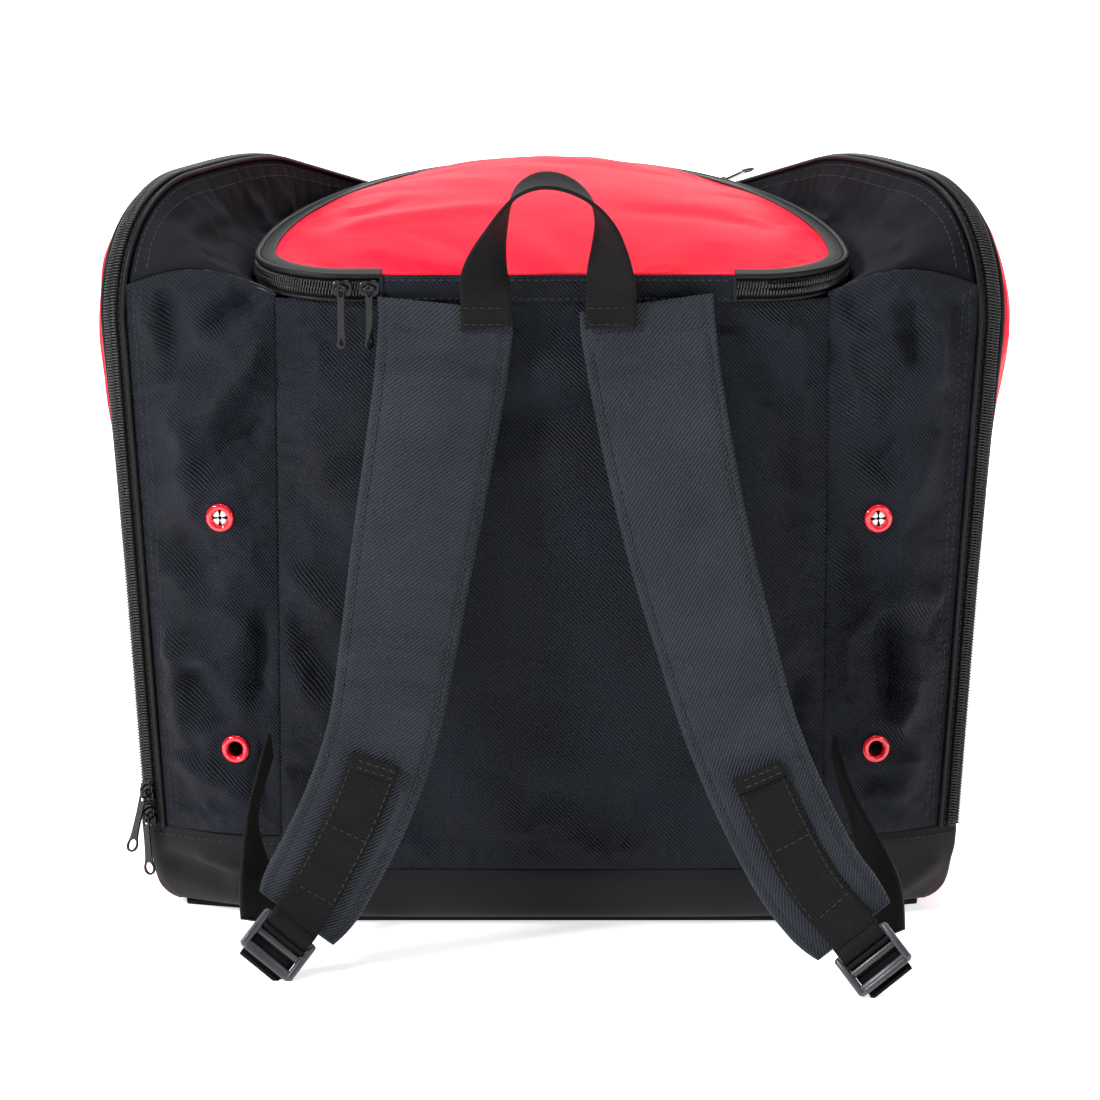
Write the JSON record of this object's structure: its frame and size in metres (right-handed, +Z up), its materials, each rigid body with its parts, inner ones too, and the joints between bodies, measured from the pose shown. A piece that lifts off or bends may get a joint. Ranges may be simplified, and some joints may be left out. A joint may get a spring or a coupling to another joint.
{
  "type": "ski boot bag",
  "caption": "Backpack for ski boots: a zipped side pod for each boot, a centre compartment under a domed zipped lid, padded shoulder straps and a haul handle.",
  "frame": {"origin": "centre of the underside that the bag stands on, midway between the pods", "axes": "+X to the wearer's right across the pods, +Y away from the wearer's back, +Z up"},
  "size_m": [0.4622, 0.4251, 0.3776],
  "materials": {
    "canvas": "diagonal-weave polyester with a matt coated back",
    "strap_cloth": "diagonal-weave polyester over foam, a little lighter",
    "plain_cloth": "plain-weave coated polyester",
    "red_cloth": "glossy coated fabric",
    "zip_tape": "woven tape with a nylon coil",
    "webbing": "ribbed polyester webbing",
    "foam": "closed-cell foam",
    "board": "stiff sheet",
    "buckle_plastic": "moulded, satin",
    "zip_metal": "black enamelled zinc",
    "red_enamel": "glossy enamel"
  },
  "bodies": {
    "bag": {"back_foam": "foam", "back_panel": "canvas", "base_board": "board", "base_panel": "plain_cloth", "front_base_band": "plain_cloth", "front_panel": "red_cloth", "left_base_band": "plain_cloth", "left_divider": "plain_cloth", "left_eyelet_lower": "red_enamel", "left_eyelet_upper": "red_enamel", "left_handle_end": "webbing", "left_pod_gusset": "canvas", "left_rear_panel": "canvas", "left_side_sill": "red_cloth", "left_washer_lower": "zip_metal", "left_washer_upper": "zip_metal", "left_zip_inner": "zip_tape", "lid_hinge_band": "canvas", "lid_zip_lower": "zip_tape", "rear_base_band": "plain_cloth", "right_base_band": "plain_cloth", "right_divider": "plain_cloth", "right_eyelet_lower": "red_enamel", "right_eyelet_upper": "red_enamel", "right_handle_end": "webbing", "right_pod_gusset": "canvas", "right_rear_panel": "canvas", "right_side_sill": "red_cloth", "right_washer_lower": "zip_metal", "right_washer_upper": "zip_metal", "right_zip_inner": "zip_tape"},
    "lid": {"lid": "red_cloth", "lid_zip_upper": "zip_tape"},
    "handle": {"haul_handle": "webbing"},
    "left_door": {"left_boot_door": "red_cloth", "left_zip_outer": "zip_tape"},
    "left_strap": {"left_shoulder_strap": "strap_cloth", "left_strap_webbing": "webbing", "left_lower_webbing": "webbing"},
    "left_buckle": {"left_ladder_buckle": "buckle_plastic"},
    "right_door": {"right_boot_door": "red_cloth", "right_zip_outer": "zip_tape"},
    "right_strap": {"right_shoulder_strap": "strap_cloth", "right_strap_webbing": "webbing", "right_lower_webbing": "webbing"},
    "right_buckle": {"right_ladder_buckle": "buckle_plastic"},
    "lid_slider_outer_body": {"lid_slider_outer": "zip_metal"},
    "lid_puller_outer_body": {"lid_puller_outer": "zip_metal"},
    "lid_slider_inner_body": {"lid_slider_inner": "zip_metal"},
    "lid_puller_inner_body": {"lid_puller_inner": "zip_metal"},
    "left_door_slider_lower_body": {"left_door_slider_lower": "zip_metal"},
    "left_door_puller_lower_body": {"left_door_puller_lower": "zip_metal"},
    "left_door_slider_upper_body": {"left_door_slider_upper": "zip_metal"},
    "left_door_puller_upper_body": {"left_door_puller_upper": "zip_metal"},
    "right_door_slider_rear_body": {"right_door_slider_rear": "zip_metal"},
    "right_door_puller_rear_body": {"right_door_puller_rear": "zip_metal"},
    "right_door_slider_front_body": {"right_door_slider_front": "zip_metal"},
    "right_door_puller_front_body": {"right_door_puller_front": "zip_metal"}
  },
  "joints": [
    {"name": "lid_hinge", "type": "hinge", "parent": "bag", "child": "lid", "pos_m": [0, -0.1588, 0.3259], "axis": [1, 0, 0], "range_deg": [0, 80]},
    {"name": "right_door_hinge", "type": "hinge", "parent": "bag", "child": "right_door", "pos_m": [0.1848, 0.0326, 0.045], "axis": [-0.4756, 0.8796, 0], "range_deg": [0, 90]},
    {"name": "left_door_hinge", "type": "hinge", "parent": "bag", "child": "left_door", "pos_m": [-0.1848, 0.0326, 0.045], "axis": [-0.4756, -0.8796, 0], "range_deg": [0, 90]},
    {"name": "handle_fold", "type": "hinge", "parent": "bag", "child": "handle", "pos_m": [0, -0.1682, 0.316], "axis": [1, 0, 0], "range_deg": [0, 95]},
    {"name": "left_strap_swing", "type": "hinge", "parent": "bag", "child": "left_strap", "pos_m": [0, -0.164, 0.3043], "axis": [-1, 0, 0], "range_deg": [0, 15]},
    {"name": "right_strap_swing", "type": "hinge", "parent": "bag", "child": "right_strap", "pos_m": [0, -0.164, 0.3043], "axis": [-1, 0, 0], "range_deg": [0, 15]},
    {"name": "left_buckle_tilt", "type": "hinge", "parent": "left_strap", "child": "left_buckle", "pos_m": [-0.12489, -0.23569, 0.0221], "axis": [-0.7614, 0, 0.6483], "range_deg": [0, 35]},
    {"name": "right_buckle_tilt", "type": "hinge", "parent": "right_strap", "child": "right_buckle", "pos_m": [0.14512, -0.2632, 0.02327], "axis": [-0.7692, 0, -0.639], "range_deg": [0, 35]},
    {"name": "lid_slider_outer_run", "type": "hinge", "parent": "bag", "child": "lid_slider_outer_body", "pos_m": [-0.098, -0.112, 0.3258], "axis": [0, 0.129, -0.9916], "range_deg": [0, 28]},
    {"name": "lid_slider_inner_run", "type": "slide", "parent": "bag", "child": "lid_slider_inner_body", "axis": [-1, 0, 0], "range_m": [0, 0.0025]},
    {"name": "left_slider_lower_run", "type": "slide", "parent": "bag", "child": "left_door_slider_lower_body", "axis": [-0.0599, -0.0121, 0.9981], "range_m": [0, 0.001]},
    {"name": "left_slider_upper_run", "type": "slide", "parent": "bag", "child": "left_door_slider_upper_body", "axis": [-0.0599, -0.0121, 0.9981], "range_m": [0, 0.22]},
    {"name": "right_slider_rear_run", "type": "slide", "parent": "bag", "child": "right_door_slider_rear_body", "axis": [0.4632, -0.8565, 0.2277], "range_m": [0, 0.095]},
    {"name": "right_slider_front_run", "type": "hinge", "parent": "bag", "child": "right_door_slider_front_body", "pos_m": [0.09378, 0.10102, 0.29111], "axis": [-0.8796, -0.4757, 0], "range_deg": [0, 60]},
    {"name": "lid_puller_outer_swing", "type": "hinge", "parent": "lid_slider_outer_body", "child": "lid_puller_outer_body", "pos_m": [-0.10154, -0.16466, 0.32001], "axis": [-0.9978, 0.0667, 0], "range_deg": [0, 80]},
    {"name": "lid_puller_inner_swing", "type": "hinge", "parent": "lid_slider_inner_body", "child": "lid_puller_inner_body", "pos_m": [-0.088, -0.16477, 0.32], "axis": [-1, 0, 0], "range_deg": [0, 80]},
    {"name": "left_door_puller_lower_swing", "type": "hinge", "parent": "left_door_slider_lower_body", "child": "left_door_puller_lower_body", "pos_m": [-0.20358, -0.1268, 0.04949], "axis": [-0.8796, 0.4757, 0], "range_deg": [0, 14]},
    {"name": "left_door_puller_upper_swing", "type": "hinge", "parent": "left_door_slider_upper_body", "child": "left_door_puller_upper_body", "pos_m": [-0.2043, -0.12695, 0.06149], "axis": [-0.8796, 0.4757, 0], "range_deg": [0, 60]},
    {"name": "right_door_puller_rear_swing", "type": "hinge", "parent": "right_door_slider_rear_body", "child": "right_door_puller_rear_body", "pos_m": [0.0937, 0.10117, 0.34807], "axis": [-0.8796, -0.4757, 0], "range_deg": [0, 80]},
    {"name": "right_door_puller_front_swing", "type": "hinge", "parent": "right_door_slider_front_body", "child": "right_door_puller_front_body", "pos_m": [0.08717, 0.11325, 0.34486], "axis": [0.8796, 0.4757, 0], "range_deg": [0, 80]}
  ]
}
